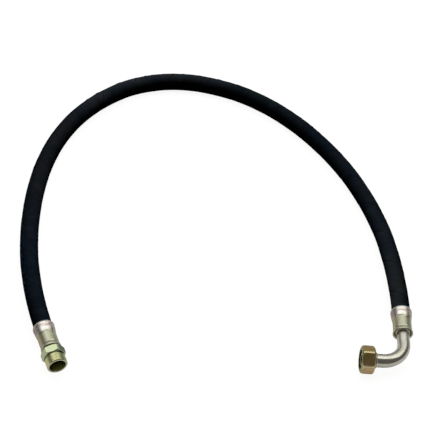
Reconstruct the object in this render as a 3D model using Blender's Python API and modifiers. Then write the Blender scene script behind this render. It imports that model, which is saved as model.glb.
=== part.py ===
"""Hydraulic hose assembly: wire-braided rubber hose with a male stud end and a 90 degree swivel end.

Metres, +Z up.  The assembly lies on a table at z = 0.  The origin is the middle of the two end
fittings' box, at table level.  The swivel end's ferrule runs along -Y and its nut opens along -X.
"""
import math

import bmesh
import bpy
from mathutils import Matrix, Vector

MM = 0.001
GAP = 0.3 * MM                      # clearance between nested pieces

# Hose: 16 mm bore, one wire braid.  Each layer is an outer and an inner radius.
HOSE_RADIUS = 12.0 * MM
COVER = (HOSE_RADIUS, 10.6 * MM)
BRAID = (10.3 * MM, 9.6 * MM)
LINER = (9.3 * MM, 7.95 * MM)
HOSE_POINT_STEP = 30 * MM           # distance between points along the hose
COVER_DEPTH = 7 * MM                # how far the cover goes into a ferrule
BRAID_DEPTH = 26 * MM               # how far the braid and the liner go in

# Where the two ferrule mouths are, and which way each fitting points away from the hose
MALE_MOUTH = Vector((-228.9, -1.6, 14.85)) * MM
MALE_HEADING = math.radians(-69.7)  # heading in the XY plane, from +X
MALE_ROLL = math.radians(103.5)     # direction of the hexagon's top flat, 90 is straight up
ELBOW_MOUTH = Vector((227.1, 66.1, 17.85)) * MM
ELBOW_HEADING = math.radians(-90.0)
NUT_ROLL = math.radians(54.0)       # direction of the nut's upper side flat, 90 is straight up

# Hand-chosen points of the hose between the mouths, in millimetres (x, y, height of the centreline)
HOSE_ROUTE = (
    (-238.5, 28.5, 15.3), (-247.0, 63.5, 14.5), (-254.0, 103.5, 13.3), (-258.0, 148.0, 12.3),
    (-258.5, 194.0, 12.0), (-255.5, 238.0, 12.0), (-249.0, 279.5, 12.0), (-238.0, 320.0, 12.0),
    (-222.5, 357.0, 12.0), (-201.0, 392.0, 12.0), (-173.5, 423.0, 12.0), (-141.0, 448.5, 12.0),
    (-103.5, 465.0, 12.0), (-62.5, 472.0, 12.0), (-21.5, 468.5, 12.0), (19.5, 457.0, 12.0),
    (56.5, 438.0, 12.0), (90.0, 413.0, 12.0), (119.5, 384.0, 12.0), (146.0, 351.0, 12.0),
    (169.0, 315.5, 12.0), (187.5, 278.0, 12.2), (202.0, 240.0, 12.8), (213.0, 200.5, 14.0),
    (220.0, 160.0, 15.7), (224.5, 120.0, 17.2), (226.5, 86.5, 18.1),
)

# Crimped ferrules
FERRULE_LENGTH = 37.8 * MM
FERRULE_MOUTH_RADIUS = 13.0 * MM
FERRULE_BULGE_RADIUS = 13.9 * MM
FERRULE_WAIST_RADIUS = 12.1 * MM
FERRULE_COLLAR_RADIUS = 13.1 * MM
FERRULE_MOUTH_BORE = HOSE_RADIUS + 0.35 * MM
FERRULE_WAIST_BORE = BRAID[0] + GAP
FERRULE_LIP_BORE = 8.8 * MM         # inward lip that locks in the insert's groove
LIP_LENGTH = 2.4 * MM
COLLAR_BORE = 11.5 * MM             # at the open end; it narrows to the waist's bore at the lip
COLLAR_DEPTH = 7.0 * MM             # how far the elbow ferrule's open collar stands past its lip

# Inserts that the hose is crimped on
TAIL_RADIUS = 7.3 * MM
TAIL_BORE_RADIUS = 5.9 * MM
GROOVE_RADIUS = 8.4 * MM
FLANGE_RADIUS = 10.2 * MM
OUTER_FLANGE_RADIUS = 9.4 * MM       # the elbow tail's flange outside the ferrule's lip
FLANGE_LENGTH = 1.2 * MM
TAIL_START = 4 * MM                 # the tail's tip, measured from the ferrule's mouth
BARB_PITCH = 4.5 * MM
BARB_COUNT = 4
BARB_HEIGHT = 0.6 * MM

# Male stud: M26 x 1.5 with a 24 degree inner cone
HEX_ACROSS_FLATS = 27 * MM
HEX_START = FERRULE_LENGTH + 2.4 * MM
HEX_LENGTH = 9.8 * MM
HEX_CORNER_RADIUS = 15.4 * MM
HEX_FACE_RADIUS = 13.4 * MM
STUD_RADIUS = 13.0 * MM
STUD_LENGTH = 14.2 * MM
UNDERCUT_RADIUS = 11.8 * MM
UNDERCUT_LENGTH = 3.0 * MM
CONE_HALF_ANGLE = math.radians(12)
CONE_MOUTH_RADIUS = 10.4 * MM
CONE_DEPTH = 9.5 * MM
THREAD_CHAMFER = 0.9 * MM

# Elbow tube and the sealing head it carries; leg lengths are measured from the corner of the bend
TUBE_RADIUS = 8.1 * MM
TUBE_END_RADIUS = 8.65 * MM         # the nut leg is swaged up to this
TUBE_WALL = 2.0 * MM
BEND_RADIUS = 29.5 * MM
BEND_STEPS = 12
CORNER_FROM_MOUTH = 83.7 * MM
TUBE_START = FERRULE_LENGTH - COLLAR_DEPTH + 2.6 * MM
TUBE_FERRULE_LEG = CORNER_FROM_MOUTH - TUBE_START
TUBE_NUT_LEG = 42.0 * MM
SOCKET_RADIUS = TUBE_END_RADIUS + GAP
SLEEVE_RADIUS = 10.0 * MM
HEAD_START = 38.0 * MM
HEAD_SHOULDER = 43.5 * MM
HEAD_SHOULDER_RADIUS = 11.7 * MM
HEAD_CONE_START = 47.0 * MM
HEAD_CONE_RADIUS = 9.9 * MM
HEAD_CONE_LENGTH = 9.0 * MM
HEAD_BORE_RADIUS = 6.1 * MM
O_RING_MINOR = 1.0 * MM
O_RING_MAJOR = 8.4 * MM
O_RING_AT = 51.0 * MM
O_RING_GROOVE_RADIUS = 7.1 * MM
O_RING_GROOVE_HALF = 1.35 * MM

# Swivel nut M26 x 1.5
NUT_ACROSS_FLATS = 32 * MM
NUT_START = 39.7 * MM
NUT_LENGTH = 17.6 * MM
NUT_CORNER_RADIUS = 17.9 * MM
NUT_FACE_RADIUS = 14.4 * MM
NUT_REAR_BORE = SLEEVE_RADIUS + GAP
NUT_THREAD_BORE = 12.25 * MM
NUT_MOUTH_RADIUS = 12.9 * MM
NUT_SHOULDER = HEAD_SHOULDER - 0.1 * MM

ROUND_STEPS = 28
HIDDEN_STEPS = 20
MERGE = 0.00001

parts = bpy.data.collections.new("hydraulic_hose_assembly")
cutters = bpy.data.collections.new("cutters")


def clear_scene():
    for obj in list(bpy.data.objects):
        bpy.data.objects.remove(obj)
    for collection in (parts, cutters):
        bpy.context.scene.collection.children.link(collection)


def material(name, colour, roughness, metallic):
    mat = bpy.data.materials.new(name)
    mat.use_nodes = True
    shader = mat.node_tree.nodes["Principled BSDF"]
    shader.inputs["Base Color"].default_value = (*colour, 1.0)
    shader.inputs["Roughness"].default_value = roughness
    shader.inputs["Metallic"].default_value = metallic
    mat.diffuse_color = (*colour, 1.0)
    return mat


def add_object(name, mesh, mat=None, parent=None, collection=parts):
    obj = bpy.data.objects.new(name, mesh)
    collection.objects.link(obj)
    if mat is not None:
        obj.data.materials.append(mat)
    obj.parent = parent
    return obj


def make_empty(name, location, heading):
    """An empty whose +Z looks along a heading in the XY plane and whose +Y looks up."""
    empty = bpy.data.objects.new(name, None)
    forward = Vector((math.cos(heading), math.sin(heading), 0.0))
    up = Vector((0.0, 0.0, 1.0))
    rotation = Matrix((up.cross(forward), up, forward)).transposed()
    empty.matrix_world = Matrix.Translation(location) @ rotation.to_4x4()
    parts.objects.link(empty)
    return empty


def smooth(mesh, angle=35):
    mesh.shade_smooth()
    mesh.set_sharp_from_angle(angle=math.radians(angle))


def turned(name, profile, mat=None, parent=None, steps=ROUND_STEPS, collection=parts):
    """A solid of revolution about local Z from a profile of (radius, z) points.

    The profile runs down its outer side, from high z to low z, and back up its inner side.
    One that starts and ends on the axis is a solid without a bore.
    """
    mesh = bpy.data.meshes.new(name)
    verts = [(radius, 0.0, z) for radius, z in profile]
    edges = [(i, i + 1) for i in range(len(verts) - 1)]
    if profile[0][0] > 0:
        edges.append((len(verts) - 1, 0))
    mesh.from_pydata(verts, edges, [])
    obj = add_object(name, mesh, mat, parent, collection)
    screw = obj.modifiers.new("turn", "SCREW")
    screw.axis = "Z"
    screw.steps = steps
    screw.render_steps = steps
    screw.use_merge_vertices = True
    screw.merge_threshold = MERGE
    screw.use_smooth_shade = True
    return obj


def as_cutter(obj):
    obj.hide_render = True
    obj.display_type = "WIRE"
    return obj


def boolean(obj, other, operation):
    mod = obj.modifiers.new(operation.lower(), "BOOLEAN")
    mod.operation = operation
    mod.solver = "EXACT"
    mod.object = other


def hexagon(name, across_flats, low, high, mat, parent, roll):
    """A hexagonal prism along local Z with one flat turned by roll from local +X."""
    mesh = bpy.data.meshes.new(name)
    bm = bmesh.new()
    corner = across_flats / math.sqrt(3)
    bmesh.ops.create_cone(
        bm, cap_ends=True, cap_tris=False, segments=6, radius1=corner, radius2=corner,
        depth=high - low,
    )
    bmesh.ops.rotate(bm, cent=(0, 0, 0), verts=bm.verts, matrix=Matrix.Rotation(roll, 3, "Z"))
    bmesh.ops.translate(bm, verts=bm.verts, vec=(0, 0, (high + low) / 2))
    bm.to_mesh(mesh)
    bm.free()
    return add_object(name, mesh, mat, parent)


def chamfer_cutter(name, blank, face, low, high, parent):
    """The round blank that a hexagon is cut from, chamfered at 30 degrees down to its end faces."""
    rise = (blank - face) * math.tan(math.radians(30))
    profile = [
        (0.0, high), (face, high), (blank, high - rise), (blank, low + rise), (face, low),
        (0.0, low),
    ]
    return as_cutter(turned(name, profile, None, parent, ROUND_STEPS, cutters))


def smooth_route(points):
    """Dense points of a centripetal Catmull-Rom curve through the route's points."""
    ends = [2 * points[0] - points[1]] + points + [2 * points[-1] - points[-2]]
    dense = []
    for p0, p1, p2, p3 in zip(ends, ends[1:], ends[2:], ends[3:]):
        t0 = 0.0
        t1 = t0 + math.sqrt((p1 - p0).length)
        t2 = t1 + math.sqrt((p2 - p1).length)
        t3 = t2 + math.sqrt((p3 - p2).length)
        for i in range(16):
            t = t1 + (t2 - t1) * i / 16
            a1 = p0.lerp(p1, (t - t0) / (t1 - t0))
            a2 = p1.lerp(p2, (t - t1) / (t2 - t1))
            a3 = p2.lerp(p3, (t - t2) / (t3 - t2))
            b1 = a1.lerp(a2, (t - t0) / (t2 - t0))
            b2 = a2.lerp(a3, (t - t1) / (t3 - t1))
            dense.append(b1.lerp(b2, (t - t1) / (t2 - t1)))
    return dense + [points[-1]]


def evenly_spaced(points, step):
    """The same path, with its points at even distances of about step."""
    lengths = [0.0]
    for a, b in zip(points, points[1:]):
        lengths.append(lengths[-1] + (b - a).length)
    count = round(lengths[-1] / step)
    result = []
    i = 0
    for k in range(count + 1):
        target = lengths[-1] * k / count
        while i < len(points) - 2 and lengths[i + 1] < target:
            i += 1
        part = (target - lengths[i]) / (lengths[i + 1] - lengths[i])
        result.append(points[i].lerp(points[i + 1], part))
    return result


def hose_layer(name, radii, free_points, depth, mat):
    """A hollow layer of the hose that goes straight into each ferrule by its own depth."""
    male_dir = Vector((math.cos(MALE_HEADING), math.sin(MALE_HEADING), 0))
    elbow_dir = Vector((math.cos(ELBOW_HEADING), math.sin(ELBOW_HEADING), 0))
    points = [MALE_MOUTH + male_dir * depth] + free_points + [ELBOW_MOUTH + elbow_dir * depth]
    curve = bpy.data.curves.new(name, "CURVE")
    curve.dimensions = "3D"
    curve.twist_mode = "Z_UP"
    curve.bevel_depth = radii[0]
    curve.bevel_resolution = 4
    spline = curve.splines.new("POLY")
    spline.points.add(len(points) - 1)
    for target, point in zip(spline.points, points):
        target.co = (*point, 1.0)
    guide = bpy.data.objects.new(name + "_curve", curve)
    parts.objects.link(guide)
    bpy.context.view_layer.update()
    depsgraph = bpy.context.evaluated_depsgraph_get()
    mesh = bpy.data.meshes.new_from_object(guide.evaluated_get(depsgraph))
    bpy.data.objects.remove(guide)
    mesh.name = name
    mesh.materials.clear()
    layer = add_object(name, mesh, mat)
    smooth(mesh)
    wall = layer.modifiers.new("wall", "SOLIDIFY")
    wall.thickness = radii[0] - radii[1]
    wall.offset = -1.0
    wall.use_even_offset = True
    wall.use_rim = True
    return layer


def ferrule(name, mat, parent, open_end):
    """A crimped ferrule.  open_end is how far its end collar stands past its inner lip."""
    end = FERRULE_LENGTH
    lip_out = end - open_end
    lip_in = lip_out - LIP_LENGTH
    outer = [
        (FERRULE_COLLAR_RADIUS - 0.4 * MM, end), (FERRULE_COLLAR_RADIUS, end - 0.5 * MM),
        (FERRULE_COLLAR_RADIUS - 0.1 * MM, end - 2.2 * MM), (FERRULE_WAIST_RADIUS + 0.2 * MM, end - 4.4 * MM),
        (FERRULE_WAIST_RADIUS - 0.15 * MM, end - 5.4 * MM), (FERRULE_WAIST_RADIUS, end - 6.6 * MM),
        (FERRULE_WAIST_RADIUS, 20.0 * MM), (FERRULE_WAIST_RADIUS + 0.4 * MM, 15.5 * MM),
        (FERRULE_BULGE_RADIUS - 0.8 * MM, 10.5 * MM), (FERRULE_BULGE_RADIUS - 0.2 * MM, 6.0 * MM),
        (FERRULE_BULGE_RADIUS, 2.8 * MM), (FERRULE_BULGE_RADIUS - 0.3 * MM, 1.4 * MM),
        (FERRULE_MOUTH_RADIUS + 0.1 * MM, 0.5 * MM), (FERRULE_MOUTH_RADIUS - 0.3 * MM, 0.0),
    ]
    inner = [
        (FERRULE_MOUTH_BORE, 0.0), (FERRULE_MOUTH_BORE, 7.5 * MM), (FERRULE_WAIST_BORE, 9.5 * MM),
        (FERRULE_WAIST_BORE, lip_in), (FERRULE_LIP_BORE, lip_in),
    ]
    if open_end > 0:
        inner += [(FERRULE_LIP_BORE, lip_out), (FERRULE_WAIST_BORE, lip_out), (COLLAR_BORE, end)]
    else:
        inner.append((FERRULE_LIP_BORE, end))
    return turned(name, outer + inner, mat, parent)


def barbs(top):
    """Outer points of a barbed tail, from just under its flange at top down to its tip."""
    points = [(TAIL_RADIUS, top)]
    for i in range(BARB_COUNT):
        ring = top - (i + 1) * BARB_PITCH
        points += [(TAIL_RADIUS, ring), (TAIL_RADIUS - BARB_HEIGHT, ring - 0.4 * MM)]
        points.append((TAIL_RADIUS, ring - BARB_PITCH + 0.6 * MM))
    points.append((TAIL_RADIUS - BARB_HEIGHT, TAIL_START))
    return points


def male_fitting(parent, zinc):
    """The barbed nipple with its hexagon and threaded stud: one turned and milled piece."""
    hex_end = HEX_START + HEX_LENGTH
    tip = hex_end + STUD_LENGTH
    flange = FERRULE_LENGTH - LIP_LENGTH - GAP
    outer = [
        (0.0, tip), (STUD_RADIUS - THREAD_CHAMFER, tip), (STUD_RADIUS, tip - THREAD_CHAMFER),
        (STUD_RADIUS, hex_end + UNDERCUT_LENGTH), (UNDERCUT_RADIUS, hex_end + UNDERCUT_LENGTH - 0.8 * MM),
        (UNDERCUT_RADIUS, HEX_START + 2 * MM), (GROOVE_RADIUS, HEX_START + 2 * MM), (GROOVE_RADIUS, flange),
        (FLANGE_RADIUS, flange), (FLANGE_RADIUS, flange - FLANGE_LENGTH),
    ]
    outer += barbs(flange - FLANGE_LENGTH) + [(0.0, TAIL_START)]
    core = as_cutter(turned("male_core", outer, None, parent, ROUND_STEPS, cutters))
    body = hexagon(
        "male_nipple", HEX_ACROSS_FLATS, HEX_START, hex_end, zinc, parent, MALE_ROLL
    )
    blank = chamfer_cutter(
        "male_chamfer", HEX_CORNER_RADIUS, HEX_FACE_RADIUS, HEX_START, hex_end, parent
    )
    boolean(body, blank, "INTERSECT")
    boolean(body, core, "UNION")
    cone_bottom = CONE_MOUTH_RADIUS - CONE_DEPTH * math.tan(CONE_HALF_ANGLE)
    bore = [
        (0.0, tip + 1 * MM), (CONE_MOUTH_RADIUS + 1 * MM * math.tan(CONE_HALF_ANGLE), tip + 1 * MM),
        (cone_bottom, tip - CONE_DEPTH), (cone_bottom, tip - CONE_DEPTH - 3 * MM),
        (TAIL_BORE_RADIUS, tip - CONE_DEPTH - 3.5 * MM), (TAIL_BORE_RADIUS, TAIL_START - 1 * MM),
        (0.0, TAIL_START - 1 * MM),
    ]
    boolean(body, as_cutter(turned("male_bore", bore, None, parent, HIDDEN_STEPS, cutters)), "DIFFERENCE")
    return body


def elbow_tail(parent, zinc):
    """The barbed tail that the elbow's tube is brazed to, with a flange each side of its groove."""
    lip_out = FERRULE_LENGTH - COLLAR_DEPTH
    inner_flange = lip_out - LIP_LENGTH - GAP
    outer_flange = lip_out + GAP
    end = TUBE_START - GAP
    profile = [
        (OUTER_FLANGE_RADIUS, end), (OUTER_FLANGE_RADIUS, outer_flange), (GROOVE_RADIUS, outer_flange),
        (GROOVE_RADIUS, inner_flange), (FLANGE_RADIUS, inner_flange),
        (FLANGE_RADIUS, inner_flange - FLANGE_LENGTH),
    ]
    profile += barbs(inner_flange - FLANGE_LENGTH)
    profile += [(TAIL_BORE_RADIUS, TAIL_START), (TAIL_BORE_RADIUS, end)]
    return turned("elbow_tail", profile, zinc, parent, HIDDEN_STEPS)


def elbow_tube(zinc, corner):
    """The bent tube: two straight legs and a quarter bend that widens slightly towards the nut."""
    points = [(corner + Vector((0, TUBE_FERRULE_LEG, 0)), 1.0)]
    widening = TUBE_END_RADIUS / TUBE_RADIUS - 1
    for i in range(BEND_STEPS + 1):
        angle = math.pi / 2 * i / BEND_STEPS
        offset = BEND_RADIUS * Vector((math.cos(angle) - 1, 1 - math.sin(angle), 0))
        points.append((corner + offset, 1 + widening * i / BEND_STEPS))
    points.append((corner + Vector((-TUBE_NUT_LEG, 0, 0)), 1 + widening))
    curve = bpy.data.curves.new("elbow_tube", "CURVE")
    curve.dimensions = "3D"
    curve.twist_mode = "Z_UP"
    curve.bevel_depth = TUBE_RADIUS
    curve.bevel_resolution = 6
    spline = curve.splines.new("POLY")
    spline.points.add(len(points) - 1)
    for target, (point, scale) in zip(spline.points, points):
        target.co = (*point, 1.0)
        target.radius = scale
    guide = bpy.data.objects.new("elbow_curve", curve)
    parts.objects.link(guide)
    bpy.context.view_layer.update()
    depsgraph = bpy.context.evaluated_depsgraph_get()
    mesh = bpy.data.meshes.new_from_object(guide.evaluated_get(depsgraph))
    bpy.data.objects.remove(guide)
    mesh.name = "elbow_tube"
    mesh.materials.clear()
    smooth(mesh)
    tube = add_object("elbow_tube", mesh, zinc)
    wall = tube.modifiers.new("wall", "SOLIDIFY")
    wall.thickness = TUBE_WALL
    wall.offset = -1.0
    wall.use_even_offset = True
    wall.use_rim = True
    return tube


def cone_head(parent, zinc):
    """The 24 degree sealing head on the tube, with its shoulder and its O-ring groove."""
    slope = math.tan(CONE_HALF_ANGLE)
    tip = HEAD_CONE_START + HEAD_CONE_LENGTH

    def cone_radius(z):
        return HEAD_CONE_RADIUS - (z - HEAD_CONE_START) * slope

    groove_high = O_RING_AT + O_RING_GROOVE_HALF
    groove_low = O_RING_AT - O_RING_GROOVE_HALF
    shoulder_top = HEAD_SHOULDER + HEAD_SHOULDER_RADIUS - SLEEVE_RADIUS
    profile = [
        (cone_radius(tip) - 0.4 * MM, tip), (cone_radius(tip - 0.4 * MM), tip - 0.4 * MM),
        (cone_radius(groove_high), groove_high), (O_RING_GROOVE_RADIUS, groove_high),
        (O_RING_GROOVE_RADIUS, groove_low), (cone_radius(groove_low), groove_low),
        (HEAD_CONE_RADIUS, HEAD_CONE_START), (HEAD_SHOULDER_RADIUS - 0.4 * MM, HEAD_CONE_START),
        (HEAD_SHOULDER_RADIUS, HEAD_CONE_START - 0.4 * MM), (HEAD_SHOULDER_RADIUS, shoulder_top),
        (SLEEVE_RADIUS, HEAD_SHOULDER), (SLEEVE_RADIUS, HEAD_START),
        (SOCKET_RADIUS, HEAD_START), (SOCKET_RADIUS, TUBE_NUT_LEG + GAP),
        (HEAD_BORE_RADIUS, TUBE_NUT_LEG + GAP), (HEAD_BORE_RADIUS, tip),
    ]
    return turned("cone_head", profile, zinc, parent)


def o_ring(parent, rubber):
    count = 12
    profile = [
        (O_RING_MAJOR + O_RING_MINOR * math.cos(2 * math.pi * i / count),
         O_RING_AT - O_RING_MINOR * math.sin(2 * math.pi * i / count))
        for i in range(count)
    ]
    return turned("cone_o_ring", profile, rubber, parent, HIDDEN_STEPS)


def braze_ring(name, parent, z, direction, inner, outer, mat):
    """A fillet of brazing metal round the tube, on the face at z, tapering along direction."""
    size = outer - inner
    slope = [
        (outer, z), (inner + 0.45 * size, z + direction * 0.45 * size),
        (inner + 0.12 * size, z + direction * size),
    ]
    if direction > 0:
        slope.reverse()
    profile = slope + [(inner, slope[-1][1]), (inner, slope[0][1])]
    return turned(name, profile, mat, parent, HIDDEN_STEPS)


def swivel_nut(joint, brass):
    """The union nut that turns on the head's shoulder; joint looks along the nut's axis."""
    end = NUT_START + NUT_LENGTH
    body = hexagon("swivel_nut", NUT_ACROSS_FLATS, NUT_START, end, brass, joint, NUT_ROLL)
    blank = chamfer_cutter("nut_chamfer", NUT_CORNER_RADIUS, NUT_FACE_RADIUS, NUT_START, end, joint)
    boolean(body, blank, "INTERSECT")
    shoulder_end = NUT_SHOULDER + NUT_THREAD_BORE - NUT_REAR_BORE
    bore = [
        (0.0, end + 1 * MM), (NUT_MOUTH_RADIUS + 1 * MM, end + 1 * MM),
        (NUT_THREAD_BORE, end - (NUT_MOUTH_RADIUS - NUT_THREAD_BORE)),
        (NUT_THREAD_BORE, shoulder_end), (NUT_REAR_BORE, NUT_SHOULDER),
        (NUT_REAR_BORE, NUT_START - 1 * MM), (0.0, NUT_START - 1 * MM),
    ]
    boolean(body, as_cutter(turned("nut_bore", bore, None, joint, ROUND_STEPS, cutters)), "DIFFERENCE")
    return body


def build():
    clear_scene()
    rubber = material("hose_rubber", (0.02, 0.022, 0.026), 0.6, 0.0)
    wire = material("braid_wire", (0.55, 0.5, 0.4), 0.4, 1.0)
    lining = material("liner_rubber", (0.03, 0.03, 0.03), 0.7, 0.0)
    yellow_zinc = material("yellow_zinc", (0.62, 0.62, 0.42), 0.3, 1.0)
    silver_zinc = material("silver_zinc", (0.66, 0.65, 0.6), 0.28, 1.0)
    bronze_zinc = material("bronze_zinc", (0.4, 0.32, 0.18), 0.32, 1.0)
    filler = material("braze_filler", (0.7, 0.55, 0.3), 0.4, 1.0)
    nitrile = material("nitrile", (0.02, 0.02, 0.02), 0.5, 0.0)

    route = [Vector(point) * MM for point in HOSE_ROUTE]
    male_dir = Vector((math.cos(MALE_HEADING), math.sin(MALE_HEADING), 0))
    elbow_dir = Vector((math.cos(ELBOW_HEADING), math.sin(ELBOW_HEADING), 0))
    whole = [MALE_MOUTH] + route + [ELBOW_MOUTH]
    free = evenly_spaced(smooth_route(whole), HOSE_POINT_STEP)
    free = [MALE_MOUTH + male_dir * COVER_DEPTH * 0.5] + free + [ELBOW_MOUTH + elbow_dir * COVER_DEPTH * 0.5]
    hose_layer("hose_cover", COVER, free, COVER_DEPTH, rubber)
    hose_layer("wire_braid", BRAID, free, BRAID_DEPTH, wire)
    hose_layer("hose_liner", LINER, free, BRAID_DEPTH, lining)

    male_axis = make_empty("male_axis", MALE_MOUTH, MALE_HEADING)
    male_fitting(male_axis, yellow_zinc)
    ferrule("male_ferrule", yellow_zinc, male_axis, 0.0)

    elbow_axis = make_empty("elbow_axis", ELBOW_MOUTH, ELBOW_HEADING)
    elbow_tail(elbow_axis, silver_zinc)
    ferrule("elbow_ferrule", yellow_zinc, elbow_axis, COLLAR_DEPTH)
    braze_ring("tail_braze", elbow_axis, TUBE_START, 1, TUBE_RADIUS + GAP, OUTER_FLANGE_RADIUS, filler)

    corner = ELBOW_MOUTH + elbow_dir * CORNER_FROM_MOUTH
    elbow_tube(silver_zinc, corner)
    nut_axis = make_empty("nut_axis", corner, math.pi)
    cone_head(nut_axis, silver_zinc)
    braze_ring("head_braze", nut_axis, HEAD_START - GAP, -1, SOCKET_RADIUS, SLEEVE_RADIUS, filler)
    o_ring(nut_axis, nitrile)
    swivel_nut(nut_axis, bronze_zinc)


build()
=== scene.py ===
"""Looks of the hydraulic hose assembly: a black wrapped hose, two crimped ferrules, a threaded male
end and a bent tube with a swivel nut.  Lengths are in millimetres times MM; each fitting is drawn
along its own local +Z, which points away from the hose.
"""
import math
import random

import bmesh
import bpy
import numpy as np
from mathutils import Matrix, Vector, noise


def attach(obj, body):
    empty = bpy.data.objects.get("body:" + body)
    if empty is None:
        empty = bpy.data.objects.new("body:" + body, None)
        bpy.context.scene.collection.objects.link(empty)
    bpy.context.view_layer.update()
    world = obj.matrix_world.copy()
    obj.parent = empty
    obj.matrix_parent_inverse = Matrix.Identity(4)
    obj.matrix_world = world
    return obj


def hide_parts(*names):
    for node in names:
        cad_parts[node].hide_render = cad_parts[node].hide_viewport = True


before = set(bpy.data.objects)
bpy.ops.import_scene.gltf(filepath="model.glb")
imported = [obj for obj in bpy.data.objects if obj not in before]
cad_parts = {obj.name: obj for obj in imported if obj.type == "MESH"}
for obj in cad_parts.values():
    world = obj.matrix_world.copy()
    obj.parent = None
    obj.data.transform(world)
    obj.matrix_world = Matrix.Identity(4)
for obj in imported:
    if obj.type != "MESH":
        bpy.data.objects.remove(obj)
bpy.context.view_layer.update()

MM = 0.001
TAU = 2 * math.pi

# ---------------------------------------------------------------- camera
CAMERA_TARGET = Vector((-8.04, 206.67, 12.0)) * MM
CAMERA_DISTANCE = 2297.9 * MM
CAMERA_HEADING = math.radians(6.73)     # right of +Y
CAMERA_ELEVATION = math.radians(46.69)
CAMERA_ROLL = math.radians(9.60)
CAMERA_LENS = 140.5
CAMERA_SENSOR = 36.0


def make_camera():
    level = Vector((math.sin(CAMERA_HEADING), math.cos(CAMERA_HEADING), 0))
    forward = level * math.cos(CAMERA_ELEVATION) - Vector((0, 0, math.sin(CAMERA_ELEVATION)))
    flat_right = Vector((math.cos(CAMERA_HEADING), -math.sin(CAMERA_HEADING), 0))
    flat_up = flat_right.cross(forward)
    right = flat_right * math.cos(CAMERA_ROLL) + flat_up * math.sin(CAMERA_ROLL)
    up = right.cross(forward)
    data = bpy.data.cameras.new("camera")
    data.lens = CAMERA_LENS
    data.sensor_width = CAMERA_SENSOR
    data.clip_end = 20
    camera = bpy.data.objects.new("camera", data)
    turn = Matrix((right, up, -forward)).transposed().to_4x4()
    camera.matrix_world = Matrix.Translation(CAMERA_TARGET - forward * CAMERA_DISTANCE) @ turn
    bpy.context.scene.collection.objects.link(camera)
    bpy.context.scene.camera = camera


# ---------------------------------------------------------------- the hose's route, as in the CAD
MALE_MOUTH = Vector((-228.9, -1.6, 14.85)) * MM
MALE_HEADING = math.radians(-69.7)
ELBOW_MOUTH = Vector((227.1, 66.1, 17.85)) * MM
ELBOW_HEADING = math.radians(-90.0)
HOSE_ROUTE = (
    (-238.5, 28.5, 15.3), (-247.0, 63.5, 14.5), (-254.0, 103.5, 13.3), (-258.0, 148.0, 12.3),
    (-258.5, 194.0, 12.0), (-255.5, 238.0, 12.0), (-249.0, 279.5, 12.0), (-238.0, 320.0, 12.0),
    (-222.5, 357.0, 12.0), (-201.0, 392.0, 12.0), (-173.5, 423.0, 12.0), (-141.0, 448.5, 12.0),
    (-103.5, 465.0, 12.0), (-62.5, 472.0, 12.0), (-21.5, 468.5, 12.0), (19.5, 457.0, 12.0),
    (56.5, 438.0, 12.0), (90.0, 413.0, 12.0), (119.5, 384.0, 12.0), (146.0, 351.0, 12.0),
    (169.0, 315.5, 12.0), (187.5, 278.0, 12.2), (202.0, 240.0, 12.8), (213.0, 200.5, 14.0),
    (220.0, 160.0, 15.7), (224.5, 120.0, 17.2), (226.5, 86.5, 18.1),
)
HOSE_LENGTH = 1.127                     # between the two ferrule mouths
ROUTE_STEPS = 16                        # of the smooth curve between two points of the route
HOSE_RADIUS = 12.0 * MM
COVER_DEPTH = 7.0 * MM
BRAID_DEPTH = 26.0 * MM


def direction(heading):
    return Vector((math.cos(heading), math.sin(heading), 0.0))


def smooth_route(points):
    """Dense points of a centripetal Catmull-Rom curve through the route's points."""
    ends = [2 * points[0] - points[1]] + points + [2 * points[-1] - points[-2]]
    dense = []
    for p0, p1, p2, p3 in zip(ends, ends[1:], ends[2:], ends[3:]):
        t0 = 0.0
        t1 = t0 + math.sqrt((p1 - p0).length)
        t2 = t1 + math.sqrt((p2 - p1).length)
        t3 = t2 + math.sqrt((p3 - p2).length)
        for i in range(ROUTE_STEPS):
            t = t1 + (t2 - t1) * i / ROUTE_STEPS
            a1 = p0.lerp(p1, (t - t0) / (t1 - t0))
            a2 = p1.lerp(p2, (t - t1) / (t2 - t1))
            a3 = p2.lerp(p3, (t - t2) / (t3 - t2))
            b1 = a1.lerp(a2, (t - t0) / (t2 - t0))
            b2 = a2.lerp(a3, (t - t1) / (t3 - t1))
            dense.append(b1.lerp(b2, (t - t1) / (t2 - t1)))
    return dense + [points[-1]]


def evenly_spaced(points, step):
    """The same path as an array of points at even distances of about step."""
    path = np.array(points)
    lengths = np.concatenate([[0], np.cumsum(np.linalg.norm(np.diff(path, axis=0), axis=1))])
    count = round(lengths[-1] / step)
    targets = np.linspace(0, lengths[-1], count + 1)
    return np.stack([np.interp(targets, lengths, path[:, k]) for k in range(3)], axis=1)


def hose_path(depth, step):
    """The hose's centreline, with its straight ends going depth into each ferrule."""
    route = [MALE_MOUTH] + [Vector(p) * MM for p in HOSE_ROUTE] + [ELBOW_MOUTH]
    dense = smooth_route(route)
    start = MALE_MOUTH + direction(MALE_HEADING) * depth
    end = ELBOW_MOUTH + direction(ELBOW_HEADING) * depth
    return evenly_spaced([start] + dense + [end], step)


# ---------------------------------------------------------------- mesh tools
MERGE_DISTANCE = 1e-7
SHORTEST_EDGE = 1e-8
LARGEST_CUT = 0.45                      # share of a side that the rounding of one corner may take


def frame_at(origin, heading):
    """A matrix whose +Z looks along a heading in the XY plane and whose +Y looks up."""
    forward = direction(heading)
    up = Vector((0.0, 0.0, 1.0))
    turn = Matrix((up.cross(forward), up, forward)).transposed().to_4x4()
    return Matrix.Translation(origin) @ turn


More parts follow.
